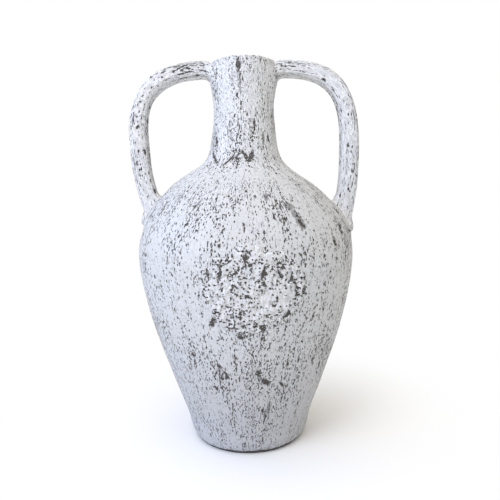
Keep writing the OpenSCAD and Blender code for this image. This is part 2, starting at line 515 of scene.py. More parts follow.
def wall_fields(turn, z, outside, inward=0.0):
    """Height of the relief and the attributes of the slip, on or inward of the outline."""
    r = outer_r(z)
    along = along_at(z) + inward
    wide = on_wall(turn, WIDE_R, along)
    narrow = on_wall(turn, NARROW_R, along * NECK_FINER)
    narrowness = 1 - ramp(r, 0.070, 0.105)
    flow = wide * (1 - narrowness[..., None]) + narrow * narrowness[..., None]
    place = on_wall(turn, r, z)

    thrown = 0.0007 * noise(place / 0.075, 11) + 0.0004 * noise(place / 0.030, 12)
    thrown = thrown + humps(SWELLINGS, turn, along, r)
    brushed = 0.00012 * layered(flow / np.array([0.0045, 0.0045, 0.050]), 21, 2)
    grit = 0.00016 * noise(place / 0.0046, 31)
    ragged = layered(place / 0.0040, 41, 2)
    bare = marked(ALL_FLAKES, turn, along, r, ragged)
    relief = thrown + brushed + grit - 0.0007 * ramp(bare, 0.3, 0.6)

    inside_bare = ramp(z + 0.006 * ragged, RIM_Z - 0.022, RIM_Z - 0.034)
    rings = 0.0005 * np.sin(along * 2 * pi / 0.011 + 0.6 * noise(place / 0.04, 51))
    rings = rings * ramp(RIM_Z - z, 0.01, 0.05)
    fields = {
        "flow_wide": wide, "flow_narrow": narrow, "narrowness": narrowness,
        "worn": humps(WORN_ZONES, turn, along, r),
        "bare": np.where(outside, bare, np.maximum(bare, inside_bare)),
        "scuffed": marked(SCUFFS, turn, along, r, ragged)}
    return np.where(outside, relief, 0.3 * thrown + rings), fields


def revolve_wall(name, material, profile, columns=COLUMNS):
    """A closed ring from a profile: radius, height, direction its relief grows in, and what is outside."""
    radius, height, way, outside = profile
    turns, r, z = revolved(radius, height, columns)
    outside = np.broadcast_to(outside[:, None], turns.shape)
    relief, fields = wall_fields(turns, z, outside, outer_r(z) - r)
    r = r + relief * way[:, :1]
    z = z + relief * way[:, 1:]
    swell = fillet(to_handles(np.sin(turns) * r, -np.cos(turns) * r, z)) * outside * below_lip(z)
    r = r + swell * way[:, :1]
    z = z + swell * way[:, 1:]
    quads = ring_faces(len(radius), columns, True)
    add_piece(name, on_wall(turns, r, z), quads, [], material, fields)


def one_scale(flow, narrowness, worn, bare):
    """Attributes of a slip whose marks are all drawn at one scale."""
    return {
        "flow_wide": flow, "flow_narrow": flow, "narrowness": np.full(bare.shape, narrowness),
        "worn": worn, "bare": bare}


def spaced(low, high, step):
    """Heights between two levels, evenly spaced along the wall."""
    a, b = along_at(low), along_at(high)
    count = max(2, int(round((b - a) / step)) + 1)
    return np.interp(np.linspace(a, b, count), OUT_S, OUT_Z)


def quarter_turned(way):
    return np.stack([way[:, 1], -way[:, 0]], axis=-1)


def outward(z):
    """Direction square to the outside of the wall."""
    return quarter_turned(np.stack([np.interp(z, OUT_Z, OUT_WAY[:, k]) for k in (0, 1)], axis=-1))


def wall_profile(low, high):
    """The section of a wall piece: outside up, tongue, inside down, groove."""
    up = spaced(low, high, ROW_STEP)
    down = spaced(low, high, INNER_STEP)[::-1]
    middle = [(outer_r(z) + inner_r(z)) / 2 for z in (high, low)]
    radius = np.r_[outer_r(up), middle[0], inner_r(down), middle[1]]
    height = np.r_[up, high + TONGUE_H, down, low + TONGUE_H]
    still = np.zeros((1, 2))
    way = np.r_[outward(up), still, -outward(down), still]
    return radius, height, way, np.arange(len(radius)) < len(up)


def lip_profile():
    """The section of the lip: outside up, over the rounded rim, down the throat."""
    up = np.linspace(LIP_Z, RIM_Z - LIP_ROUND, 8)
    down = np.linspace(RIM_Z - LIP_ROUND, LIP_Z, 6)
    turn = np.radians(np.arange(0, 91, 10))
    cos, sin = LIP_ROUND * np.cos(turn), LIP_ROUND * np.sin(turn)
    outer, inner, level = RIM_R - LIP_ROUND, THROAT_R + LIP_ROUND, RIM_Z - LIP_ROUND
    flat = np.linspace(outer, inner, 6)[1:-1]
    middle = (outer_r(LIP_Z) + THROAT_R) / 2
    throat = np.full(len(down) - 1, THROAT_R)
    radius = np.r_[outer_r(up[:-1]), outer + cos, flat, inner - sin, throat, middle]
    tops = np.full(len(flat), RIM_Z)
    height = np.r_[up[:-1], level + sin, tops, level + cos, down[1:], LIP_Z + TONGUE_H]
    way = quarter_turned(directions(np.stack([radius, height], axis=-1)))
    way[-1] = 0
    # The outside's look goes over the rounding and ends on the flat rim
    return radius, height, way, np.arange(len(radius)) < len(up) + len(turn) + 2


# ---- Handles ----

def handle_line(path, thick):
    """Centre line of a whole handle, from inside the neck wall to inside the shoulder wall."""
    stub_x = np.linspace(THROAT_R + BURIED, HANDLE_ROOT_X, STUB_RINGS, endpoint=False)
    to_go = 1 - (stub_x - stub_x[0]) / (HANDLE_ROOT_X - stub_x[0])
    stub_thick = thick[0] * (1 + (UPPER_SPREAD[0] - 1) * to_go ** 2)
    stub_wide = HANDLE_W * (1 + (UPPER_SPREAD[1] - 1) * to_go ** 2)
    parts = [np.stack([stub_x, RUN_Z + thick[0] / 2 - stub_thick / 2], axis=-1)]
    bend, leg, foot = PATH_RINGS
    for k, count in enumerate(PATH_RINGS):
        t = np.linspace(0, 1, count, endpoint=(k == 2))
        parts.append(stretch(path[k], path[k + 1], turning, t))
    t_bend = np.linspace(0, 1, bend, endpoint=False)
    t_foot = np.linspace(0, 1, foot)
    thickness = np.r_[
        stub_thick, thick[0] + (thick[1] - thick[0]) * t_bend, np.full(leg, thick[1]),
        thick[1] * (1 + (LOWER_SPREAD[0] - 1) * t_foot)]
    width = np.r_[
        stub_wide, np.full(bend + leg, HANDLE_W), HANDLE_W * (1 + (LOWER_SPREAD[1] - 1) * t_foot)]
    centre = np.concatenate(parts)
    way = directions(centre)
    way[:STUB_RINGS] = (1, 0)
    cuts = (0, STUB_RINGS, STUB_RINGS + bend + leg, len(centre) - 1)
    near_wall = [*range(0, STUB_RINGS + 2, 2), *range(cuts[2] - 12, len(centre), 3)]
    return {
        "centre": centre, "way": way, "thick": thickness, "width": width, "along": lengths(centre),
        "cuts": cuts, "near_wall": near_wall}


LEFT_LINE = handle_line(LEFT_PATH, LEFT_THICK)
RIGHT_LINE = handle_line(RIGHT_PATH, RIGHT_THICK)

# Flakes on the handles: distance along from the throat, turn about the handle from its outer or upper side
# in degrees (front at -90, inner or lower side at 180), half length, half width
LEFT_FLAKES = (
    (0.029, -35, 0.0018, 0.0018),
    (0.029, -80, 0.0022, 0.0018),
    (0.036, -138, 0.0035, 0.0043),
    (0.055, -150, 0.0097, 0.0017),
    (0.056, -76, 0.0062, 0.0016),
    (0.066, -58, 0.0057, 0.0014),
    (0.072, -88, 0.0053, 0.0016),
    (0.046, -55, 0.004, 0.0016),
    (0.05, -100, 0.0044, 0.0016),
    (0.062, -108, 0.0062, 0.0016),
    (0.079, -48, 0.0053, 0.0013),
    (0.086, -75, 0.004, 0.0013),
    (0.088, -112, 0.004, 0.0013),
    (0.104, -60, 0.0035, 0.0013),
    (0.112, -98, 0.0035, 0.0014),
    (0.17, -18, 0.0079, 0.0017),
    (0.18, -95, 0.0029, 0.0025),
    (0.219, -128, 0.007, 0.0022),
    (0.253, -138, 0.0029, 0.0022),
    (0.266, -135, 0.0035, 0.0017),
    (0.283, -152, 0.0053, 0.003),
)
RIGHT_FLAKES = (
    (0.012, -155, 0.0035, 0.0025),
    (0.014, -125, 0.0035, 0.0021),
    (0.094, -113, 0.0044, 0.0026),
    (0.117, -120, 0.0035, 0.0022),
    (0.123, -35, 0.007, 0.0018),
    (0.154, -125, 0.0053, 0.0018),
    (0.165, -30, 0.0044, 0.0013),
    (0.212, -100, 0.0026, 0.0018),
    (0.232, -45, 0.0035, 0.0018),
    (0.29, -130, 0.0035, 0.0016),
)

# Zones of more or less wear along the handles: distance from the throat, reach, amount
LEFT_WORN = (
    (0.055, 0.032, 0.6), (0.12, 0.026, -0.3), (0.175, 0.016, 0.7), (0.225, 0.018, 0.3), (0.33, 0.03, -0.7))
RIGHT_WORN = ((0.05, 0.03, -0.2), (0.105, 0.03, 0.3), (0.2, 0.05, 0.3), (0.325, 0.03, -0.4))

# Everything about a handle: side along X, line, flakes, wear, height of the notch under its foot, seed
HANDLES = {
    "left": (-1, LEFT_LINE, LEFT_FLAKES, LEFT_WORN, LEFT_NOTCH_Z, 101),
    "right": (1, RIGHT_LINE, RIGHT_FLAKES, RIGHT_WORN, RIGHT_NOTCH_Z, 151),
}


def handle_flakes(marks, phase, along, ragged):
    """1 where a flake has gone from a handle, falling to 0 around it."""
    field = np.zeros(ragged.shape)
    for mark_along, mark_phase, half_length, half_width in marks:
        across = half_turn(phase - radians(mark_phase))[None, :] * HANDLE_R
        spot = mark(across, along[:, None] - mark_along, half_length, half_width, 0)
        field = np.maximum(field, spot)
    return frayed(field, ragged)


def handle_slip(phase, along, flakes, zones, seed):
    """Height of a handle's relief and the attributes of its slip, ring by ring."""
    spot = np.stack(np.broadcast_arrays(
        np.cos(phase) * HANDLE_R, np.sin(phase) * HANDLE_R, along[:, None]), axis=-1)
    ridges = layered(spot / np.array([0.0065, 0.0065, 0.16]), seed, 2)
    pulled = 0.0010 * noise(spot / np.array([0.03, 0.03, 0.035]), seed + 5)
    brushed = 0.00022 * layered(spot / np.array([0.003, 0.003, 0.04]), seed + 9, 2)
    bare = handle_flakes(flakes, phase, along, layered(spot / 0.004, seed + 17, 2))
    relief = 0.0011 * ridges + pulled + brushed - 0.0006 * ramp(bare, 0.3, 0.6)
    worn = 0.30 * noise(spot / 0.03, seed + 13) - 0.9 * ridges - 0.15
    for middle, reach, amount in zones:
        worn = worn + amount * np.exp(-((along[:, None] - middle) / reach) ** 2)
    return relief, one_scale(spot, 1.0, worn, bare)


def joining(gap, y, z, cos, notch):
    """How far a handle swells where it nears the wall: a fillet, and at its foot a lip above a notch."""
    outer_side = ramp(cos, 0.0, 0.6)
    toe = notch + TOE_ROUND * (2 * y / HANDLE_W) ** 2
    above = ramp(z, toe - 0.001, toe + 0.005)
    lip = FOOT_LIP * np.exp(-((z - toe - 0.007) / 0.008) ** 2)
    waist = FOOT_WAIST * np.exp(-((z - toe - 0.024) / 0.01) ** 2)
    outer_foot = above * (lip - waist) - FOOT_SUNK * (1 - above)
    inner_foot = 1.6 * fillet(gap, FOOT_FILLET) * ramp(-cos, 0.2, 0.9)
    foot = np.maximum(fillet(gap) * (1 - outer_side), inner_foot) + outer_foot * outer_side
    return np.where(z < NECK_SEAM_Z, foot, fillet(gap)) * (gap > -BURIED) * below_lip(z)


def squared(wave):
    """A cosine or sine drawn out so that it traces a rounded oblong."""
    return np.sign(wave) * np.abs(wave) ** (2 / HANDLE_SQUARE)


def handle_surface(line, at, cos, sin, relief, notch):
    """Coordinates of a handle's rings, joined to the wall and creased at the rim."""
    centre, way = line["centre"][at], line["way"][at]
    side_x, side_z = -way[:, 1:], way[:, :1]
    off = line["thick"][at][:, None] / 2 * squared(cos) + relief * cos
    y = line["width"][at][:, None] / 2 * squared(sin) + relief * sin
    x = centre[:, :1] + off * side_x
    z = centre[:, 1:] + off * side_z
    for _ in range(2):
        push = joining(np.hypot(x, y) - outer_r(z), y, z, cos, notch)
        x = x + push * cos * side_x * 0.5
        z = z + push * cos * side_z * 0.5
        y = y + push * sin * 0.5
    radial = np.hypot(x, y)
    crease = np.exp(-((radial - RIM_R - CREASE_OUT) / CREASE_WIDE) ** 2) * ramp(cos, 0.1, 0.9)
    z = z - CREASE * crease * (z > LIP_Z - BURIED)
    floor_r = outer_r(z) - BURIED
    scale = np.where(radial < floor_r, floor_r / radial, 1.0)
    return x * scale, y * scale, z


def handle_part(name, handle, first, last, material):
    """A stretch of a handle between two of its rings, closed at both ends."""
    side, line, flakes, zones, notch, seed = handle
    at = np.arange(first, last + 1)
    phase = around(RING_POINTS)
    relief, fields = handle_slip(phase, line["along"][at], flakes, zones, seed)
    x, y, z = handle_surface(line, at, np.cos(phase), np.sin(phase), relief, notch)
    verts = np.stack([side * x, y, z], axis=-1)
    # The two sides mirror each other, so one side's faces turn over
    quads = ring_faces(len(at), RING_POINTS, False)[:, ::-side]
    caps = [cap[::-side] for cap in end_caps(len(at), RING_POINTS)]
    add_piece(name, verts, quads, caps, material, fields)


def build_handle(side_name, material):
    """Upper pad, handle and lower pad, in the order of their rings."""
    handle = HANDLES[side_name]
    cuts = handle[1]["cuts"]
    for ending, first, last in zip(("_upper_pad", "", "_lower_pad"), cuts, cuts[1:]):
        handle_part(f"handle_{side_name}{ending}", handle, first, last, material)


# ---- Front relief ----

# Grid of the patch, how far it spreads past its CAD box before its edge fades, and how deep it is buried
PATCH_GRID = (190, 180)
PATCH_SPARE = 0.006
PATCH_ROOT = 0.0045

# Torn pits in the patch: across and up from its middle, half length, half width, lean in degrees
PITS = (
    # Upper half
    (-0.06, 0.031, 0.0085, 0.0036, 17),
    (-0.063, 0.017, 0.0036, 0.0024, 60),
    (-0.046, 0.024, 0.009, 0.0018, 6),
    (-0.043, 0.05, 0.0055, 0.0022, -88),
    (-0.026, 0.026, 0.006, 0.003, 42),
    (-0.011, 0.03, 0.008, 0.0042, 20),
    (-0.011, 0.049, 0.0055, 0.0036, 12),
    (0.012, 0.022, 0.0095, 0.0022, 4),
    (0.033, 0.036, 0.005, 0.0046, 0),
    (0.033, 0.023, 0.005, 0.0026, -14),
    (0.047, 0.016, 0.005, 0.0028, 20),
    (0.058, 0.02, 0.0042, 0.0017, -12),
    (0.071, 0.008, 0.0046, 0.0022, -28),
    # Lower half
    (0.056, -0.002, 0.007, 0.0016, -8),
    (0.065, -0.005, 0.0048, 0.0016, 6),
    (-0.026, 0.003, 0.004, 0.0034, -40),
    (-0.052, -0.009, 0.0036, 0.0026, 40),
    (-0.012, -0.007, 0.004, 0.0018, -84),
    (0.025, -0.018, 0.0026, 0.0024, 0),
    (0.003, -0.021, 0.0028, 0.0024, 0),
    (-0.036, -0.02, 0.0048, 0.0022, 70),
    (-0.035, -0.036, 0.0042, 0.0024, 55),
    (-0.055, -0.045, 0.0085, 0.0028, -20),
    (0.041, -0.036, 0.007, 0.002, 40),
    (0.022, -0.05, 0.005, 0.0036, 60),
    (0.01, -0.053, 0.0048, 0.0036, -42),
    (-0.005, -0.064, 0.0048, 0.0018, -86),
    (-0.019, -0.066, 0.0075, 0.0032, -56),
)

# Where the patch is torn more: across, up, reach, amount
TORN_ZONES = (
    (-0.045, 0.030, 0.022, 0.20),
    (-0.008, 0.038, 0.020, -0.10),
    (0.020, 0.026, 0.018, 0.10),
    (0.050, 0.012, 0.022, 0.05),
    (-0.040, -0.036, 0.018, 0.15),
    (0.010, -0.055, 0.020, 0.20),
    (0.020, -0.012, 0.024, -0.20),
)


def torn_pits(across, up, ragged):
    """1 in the torn pits of the patch, falling to 0 around them."""
    field = np.zeros(across.shape)
    for x, z, half_length, half_width, lean in PITS:
        field = np.maximum(field, mark(across - x, up - z, 1.3 * half_length, 1.5 * half_width, lean))
    return frayed(field, ragged, 0.25)


def patch_surface(across, up):
    """Height of the patch above the wall, how torn it is, and where its slip is gone."""
    bearing = np.arctan2(up, across)
    reach = 0.067 + 0.004 * np.cos(2 * bearing + 0.35) + 0.003 * np.cos(3 * bearing - 1.05)
    spot = np.stack([across, up, np.zeros(across.shape)], axis=-1)
    edge = reach - np.hypot(across, up) + 0.007 * layered(spot / 0.014, 71, 3)
    ragged = layered(spot / 0.0034, 72, 2)

    shifts = [0.003 * noise(spot / 0.01, seed) for seed in (73, 74)]
    near = nearest_seed(across + shifts[0], up + shifts[1], 0.0085, 75)
    lumps = np.sqrt(np.clip(1 - (near / 0.62) ** 2, 0, 1)) * (0.6 + 0.5 * noise(spot / 0.012, 76))
    torn = 0.55 * layered(spot / 0.0048, 77, 2) + 0.30 * noise(spot / 0.019, 78)
    for x, z, size, amount in TORN_ZONES:
        torn = torn + amount * np.exp(-((across - x) ** 2 + (up - z) ** 2) / size ** 2)
    pit = np.maximum(torn_pits(across, up, ragged), ramp(torn, 0.44, 0.66))
    outline = np.exp(-(edge / 0.0026) ** 2) * np.clip(0.55 + 0.9 * noise(spot / 0.020, 80), 0, 1)
    pit = np.maximum(pit, outline)
    height = 0.0008 + 0.0023 * lumps + 0.0008 * layered(spot / 0.013, 79, 2) + 0.0004 * ragged
    height = height * ramp(edge, 0, 0.006) - 0.0016 * ramp(pit, 0.35, 0.8)
    height = height - 0.0014 * (1 - ramp(edge, -0.002, 0.002))
    return height, torn, pit * ramp(edge, -0.004, 0.002)


def slab_faces(rows, columns):
    """Quads of a sheet, of its copy behind it, and of the sides between the two."""
    count = rows * columns
    index = np.arange(count).reshape(rows, columns)
    quads = ring_faces(rows, columns, False).reshape(rows - 1, columns, 4)[:, :-1].reshape(-1, 4)
    rim = np.r_[index[0, :-1], index[:-1, -1], index[-1, :0:-1], index[:0:-1, 0]]
    after = np.roll(rim, -1)
    sides = np.stack([rim, rim + count, after + count, after], axis=-1)
    return np.r_[quads, quads[:, ::-1] + count, sides]


def front_relief(material):
    """Rough patch of coarse clay pressed on and torn: lumps, pits and a ragged edge."""
    low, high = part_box("front_relief")
    middle, half = (low + high) / 2, (high - low) / 2
    half_x, half_z = half.x + PATCH_SPARE, half.z + PATCH_SPARE
    columns, rows = PATCH_GRID
    across, up = np.meshgrid(np.linspace(-half_x, half_x, columns), np.linspace(-half_z, half_z, rows))
    height, torn, bare = patch_surface(across, up)
    z = middle.z + up
    wall_r = outer_r(z)
    turn = np.arcsin(np.clip((middle.x + across) / wall_r, -1, 1))
    verts = np.stack([on_wall(turn, r, z) for r in (wall_r + height, wall_r - PATCH_ROOT)])
    flow = on_wall(turn, WIDE_R, along_at(z))
    worn = np.clip(0.1 + 1.3 * torn, -1.5, 1.4)
    fields = one_scale(np.stack([flow, flow]), 0.0, np.stack([worn, worn]), np.stack([bare, bare]))
    add_piece("front_relief", verts, slab_faces(rows, columns), [], material, fields)


# ---- Hidden and lower pieces ----

def base_slab(material):
    """Disc floor: bare underside, and a dark band round the foot up to a ragged line just above it, taller
    at the front.
    """
    under = np.linspace(SLAB_EYE_R, BASE_R - 0.001, SLAB_UNDER_ROWS)
    edge = spaced(0.0, FLOOR_Z, 0.0012)
    top = np.linspace(inner_r(FLOOR_Z), SLAB_EYE_R, SLAB_TOP_ROWS)
    tongue_r = (outer_r(FLOOR_Z) + inner_r(FLOOR_Z)) / 2
    radius = np.r_[under, outer_r(edge), tongue_r, top]
    height = np.r_[0 * under, edge, FLOOR_Z + TONGUE_H, np.full(len(top), FLOOR_Z)]
    way = np.r_[np.zeros((len(under), 2)), outward(edge), np.zeros((len(top) + 1, 2))]
    row = np.arange(len(radius))[:, None]
    beneath = row < len(under)
    on_edge = ~beneath & (row < len(under) + len(edge))

    turns, r, z = revolved(radius, height, SLAB_COLUMNS)
    place = on_wall(turns, r, z)
    relief, fields = wall_fields(turns, z, np.broadcast_to(on_edge, turns.shape))
    relief = relief * on_edge * ramp(z, 0.0, 0.004)
    hollow = 0.0010 * (1 - ramp(r, 0.060, 0.078)) + 0.0002 * (1 + noise(place / 0.006, 91))
    hollow = hollow * ramp(BASE_R - r, 0, 0.006) * beneath
    verts = on_wall(turns, r + relief * way[:, :1], z + relief * way[:, 1:] + hollow)
    # Top of the dark band round the foot, taller at the front
    line = 0.0050 + 0.0016 * np.cos(turns) + 0.0010 * layered(place / 0.010, 92, 2)
    fields["bare"] = np.where(on_edge, 1 - ramp(z - line, -0.0008, 0.0008), 1.0)
    quads = ring_faces(len(radius), SLAB_COLUMNS, False)
    caps = end_caps(len(radius), SLAB_COLUMNS)
    add_piece("base_slab", verts, quads, caps, material, fields)


def hidden_coil(name, material, radius, height):
    """A coil of clay pressed into a corner inside the vessel."""
    turns, r, z = revolved(radius, height, COIL_COLUMNS)
    place = on_wall(turns, r, z)
    dents = 0.0008 * noise(place / 0.012, 95) + 0.0003 * noise(place / 0.004, 96)
    fields = one_scale(place, 0.0, np.zeros(r.shape), np.ones(r.shape))
    quads = ring_faces(len(radius), COIL_COLUMNS, True)
    add_piece(name, on_wall(turns, r - dents, z), quads, [], material, fields)


def floor_coil(material):
    leg = COIL_TOP_Z - FLOOR_Z
    up = np.linspace(FLOOR_Z, COIL_TOP_Z, 8)
    toe = float(inner_r(FLOOR_Z)) - leg
    swing = np.radians(np.arange(-10, -81, -10))
    radius = np.r_[inner_r(up) + COIL_SUNK, toe + leg * np.cos(swing), toe]
    height = np.r_[up, COIL_TOP_Z + leg * np.sin(swing), FLOOR_Z]
    hidden_coil("floor_coil", material, radius, height)


def neck_coil(material):
    low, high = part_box("neck_coil")
    up = np.linspace(low.z, high.z, 10)
    swing = np.radians(np.arange(-80, 81, 10))
    back = (low.z + high.z) / 2 - (high.z - low.z) / 2 * np.sin(swing)
    radius = np.r_[inner_r(up) + COIL_SUNK, inner_r(back) - NECK_COIL_OUT * np.cos(swing)]
    hidden_coil("neck_coil", material, radius, np.r_[up, back])


# ---- Materials ----

# Colours of the slip, from the brighter white of painted light to rubbed through, and of the clay
# Painted light: a brighter white laid on the neck and, by their pale share, on the handles and the relief
LIT_WHITE = (0.85, 0.85, 0.85, 1)
COOL_WHITE = (0.68, 0.69, 0.70, 1)
WARM_WHITE = (0.665, 0.66, 0.645, 1)
BRUSHED_WHITE = (0.60, 0.60, 0.60, 1)
PITTED_WHITE = (0.54, 0.54, 0.54, 1)
# Painted shade: a darker white laid towards the foot
SHADED_FOOT_WHITE = (0.45, 0.45, 0.46, 1)
THIN_SLIP = (0.34, 0.335, 0.33, 1)
SCUFFED_SLIP = (0.20, 0.197, 0.193, 1)
PEPPER = (0.055, 0.051, 0.048, 1)
WORN_CLAY = ((0.035, 0.032, 0.029, 1), (0.12, 0.11, 0.10, 1))
BARE_CLAY = ((0.075, 0.066, 0.060, 1), (0.15, 0.135, 0.12, 1))
CLAY_GRIT = (0.24, 0.22, 0.20, 1)

# Largest radius of a speck, in cells
SPECK_REACH = 0.62


def emptied(holder):
    """The node tree of a material or a world, without its default nodes."""
    holder.use_nodes = True
    holder.node_tree.nodes.clear()
    return holder.node_tree


def add_node(tree, kind, inputs=None, **settings):
    """A shader node with its settings, its inputs linked or set."""
    made = tree.nodes.new("ShaderNode" + kind)
    for key, value in settings.items():
        setattr(made, key, value)
    for key, value in (inputs or {}).items():
        if isinstance(value, bpy.types.NodeSocket):
            tree.links.new(value, made.inputs[key])
        else:
            made.inputs[key].default_value = value
    return made


def attribute(tree, name, output="Fac"):
    return add_node(tree, "Attribute", attribute_name=name).outputs[output]


def maths(tree, operation, a, b=0.0, c=0.0):
    return add_node(tree, "Math", {0: a, 1: b, 2: c}, operation=operation).outputs[0]


def times(tree, a, b):
    return maths(tree, "MULTIPLY", a, b)


def plus_swing(tree, level, noise_value, weight):
    """level, moved up and down by a noise that swings about 0.5."""
    swing = maths(tree, "MULTIPLY_ADD", noise_value, weight, -0.5 * weight)
    return maths(tree, "ADD", level, swing)


def mix_value(tree, factor, a, b):
    return add_node(tree, "Mix", {0: factor, 2: a, 3: b}, data_type="FLOAT").outputs[0]


def mix_colour(tree, factor, a, b):
    return add_node(tree, "Mix", {0: factor, 6: a, 7: b}, data_type="RGBA").outputs[2]


def between(tree, value, low, high):
    """Rises smoothly from 0 to 1 as value goes from low to high."""
    inputs = {"Value": value, "From Min": low, "From Max": high}
    made = add_node(tree, "MapRange", inputs, interpolation_type="SMOOTHSTEP")
    return made.outputs["Result"]


def stretched(tree, vector, size, length, shift):
    """A coordinate in cells of a size across and a length along, moved to a place of its own."""
    made = add_node(tree, "Mapping", {
        "Vector": vector, "Scale": (1 / size, 1 / size, 1 / length), "Location": (shift, shift, shift)})
    return made.outputs["Vector"]


def streaks(tree, coords, size, length, shift=0.0, detail=2.0, rough=0.6):
    """Noise drawn out along the wall, size across and length along, at belly and neck scale."""
    found = []
    for flow in coords["flow"]:
        vector = stretched(tree, flow, size, length, shift)
        made = add_node(tree, "TexNoise", {
            "Vector": vector, "Scale": 1.0, "Detail": detail, "Roughness": rough})
        found.append(made.outputs["Fac"])
    return mix_value(tree, coords["narrowness"], *found)


def grain(tree, coords, size, detail, rough):
    made = add_node(tree, "TexNoise", {
        "Vector": coords["place"], "Scale": 1 / size, "Detail": detail, "Roughness": rough})
    return made.outputs["Fac"]


def slip_coords(tree, size, drawn_out):
    """Where a point of the slip lies, how worn it is, and the noises that its marks and colour share."""
    wide, narrow = [attribute(tree, name, "Vector") for name in ("flow_wide", "flow_narrow")]
    slip = {"flow": (wide, narrow), "place": add_node(tree, "TexCoord").outputs["Object"]}
    for name in ("narrowness", "worn", "bare", "scuffed"):
        slip[name] = attribute(tree, name)
    slip["tooth"] = grain(tree, slip, 0.0019, 2.0, 0.7)
    slip["brush"] = streaks(tree, slip, 0.0022, 0.0065, 5.3)
    slip["lines"] = streaks(tree, slip, 0.0045, 0.060, 3.1, 2.0, 0.55)
    slip["areas"] = streaks(tree, slip, 0.030, 0.060, 7.7, 1.0, 0.5)
    slip["dashes"] = streaks(tree, slip, size, 1.35 * size * drawn_out)
    return slip


def peppered(tree, slip, size, drawn_out, share):
    """1 in small dark specks drawn out along the wall. Their share of all cells grows with wear."""
    wide, narrow = slip["flow"]
    neck_share = plus_swing(tree, slip["narrowness"], slip["tooth"], 1.5)
    at_neck = maths(tree, "GREATER_THAN", neck_share, 0.5)
    where = add_node(tree, "Mix", {0: at_neck, 4: wide, 5: narrow}, data_type="VECTOR").outputs[1]
    vector = stretched(tree, where, 0.85 * size, 0.85 * size * drawn_out, 1.3)
    cells = add_node(tree, "TexVoronoi", {"Vector": vector, "Scale": 1.0})
    chance = add_node(tree, "SeparateColor", {"Color": cells.outputs["Color"]}).outputs["Red"]
    density = plus_swing(tree, plus_swing(tree, 1.0, slip["lines"], 5.0), slip["areas"], 3.0)
    density = maths(tree, "MAXIMUM", maths(tree, "ADD", slip["worn"], density), 0.2)
    held = times(tree, density, share)
    lucky = maths(tree, "SUBTRACT", maths(tree, "ADD", chance, held), 1.0)
    grown = between(tree, maths(tree, "DIVIDE", lucky, held), -0.1, 0.8)
    gap = maths(tree, "SUBTRACT", times(tree, grown, SPECK_REACH), cells.outputs["Distance"])
    return between(tree, plus_swing(tree, gap, slip["tooth"], 0.55), 0.0, 0.10)


def rubbed_through(tree, slip, cut, rubbed):
    """Where the slip is gone, in dashes and flakes, and how thin it is around the dashes."""
    tooth, dashes = slip["tooth"], slip["dashes"]
    level = plus_swing(tree, plus_swing(tree, dashes, slip["lines"], 0.30), slip["areas"], 0.22)
    level = maths(tree, "MULTIPLY_ADD", slip["worn"], 0.050, plus_swing(tree, level, tooth, 0.20))
    dashed = between(tree, level, cut, cut + 0.022)
    laid_bare = maths(tree, "MULTIPLY_ADD", slip["scuffed"], 0.5, slip["bare"])
    ragged = plus_swing(tree, plus_swing(tree, laid_bare, tooth, 1.5), dashes, 1.9)
    gone = maths(tree, "MAXIMUM", dashed, between(tree, ragged, 0.62, 0.72))
    return gone, times(tree, between(tree, level, cut - 0.05, cut), rubbed)


def slip_white(tree, slip, pale):
    """White of the slip where it holds, with painted light making it brighter on the neck and the pale
    pieces, and painted shade making it darker towards the foot.
    """
    tone = grain(tree, slip, 0.080, 2.0, 0.5)
    up = add_node(tree, "SeparateXYZ", {"Vector": slip["place"]}).outputs["Z"]
    white = mix_colour(tree, between(tree, tone, 0.35, 0.65), COOL_WHITE, WARM_WHITE)
    # Painted light: the neck, and the pieces given a pale share, take the brighter white
    painted_lit = maths(tree, "MAXIMUM", between(tree, up, 0.41, 0.48), pale)
    white = mix_colour(tree, painted_lit, white, LIT_WHITE)
    white = mix_colour(tree, between(tree, slip["brush"], 0.66, 0.36), white, BRUSHED_WHITE)
    white = mix_colour(tree, between(tree, slip["tooth"], 0.55, 0.30), white, PITTED_WHITE)
    # Painted shade: the white darkens from the belly down to the foot
    painted_shade = times(tree, between(tree, up, 0.26, 0.02), 0.75)
    return mix_colour(tree, painted_shade, white, SHADED_FOOT_WHITE)


def rough_surface(tree, colour, rough, specular, bump):
    """The material's output, with a bump: height, strength and distance."""
    height, strength, distance = bump
    bumped = add_node(tree, "Bump", {"Height": height, "Strength": strength, "Distance": distance})
    shader = add_node(tree, "BsdfPrincipled", {
        "Base Color": colour, "Roughness": rough, "Specular IOR Level": specular,
        "Normal": bumped.outputs["Normal"]})
    add_node(tree, "OutputMaterial", {"Surface": shader.outputs["BSDF"]})


def slip_material(name, size, drawn_out, share, cut, pale, rubbed):
    """White slip over dark clay, rubbed through in dots and dashes that run down the wall."""
    material = bpy.data.materials.new(name)
    tree = emptied(material)
    slip = slip_coords(tree, size, drawn_out)
    tooth, brush = slip["tooth"], slip["brush"]
    gone, thin = rubbed_through(tree, slip, cut, rubbed)
    smear = streaks(tree, slip, 4 * size, 6 * size * drawn_out, 11.9, 3.0)
    smeared = times(tree, between(tree, smear, 0.60, 0.70), 0.8 * rubbed)
    scuffed = between(tree, plus_swing(tree, slip["scuffed"], tooth, 0.6), 0.55, 0.80)
    coat = mix_colour(
        tree, maths(tree, "MAXIMUM", thin, smeared), slip_white(tree, slip, pale), THIN_SLIP)
    coat = mix_colour(tree, times(tree, scuffed, 0.75), coat, SCUFFED_SLIP)
    coat = mix_colour(tree, peppered(tree, slip, size, drawn_out, share), coat, PEPPER)
    colour = mix_colour(tree, gone, coat, mix_colour(tree, tooth, *WORN_CLAY))
    covered = maths(tree, "SUBTRACT", 1.0, gone)
    height = maths(tree, "MULTIPLY_ADD", brush, 0.35, covered)
    height = maths(tree, "MULTIPLY_ADD", tooth, 0.45, height)
    rough_surface(tree, colour, mix_value(tree, gone, 0.82, 0.95), 0.3, (height, 0.9, 0.0005))
    return material


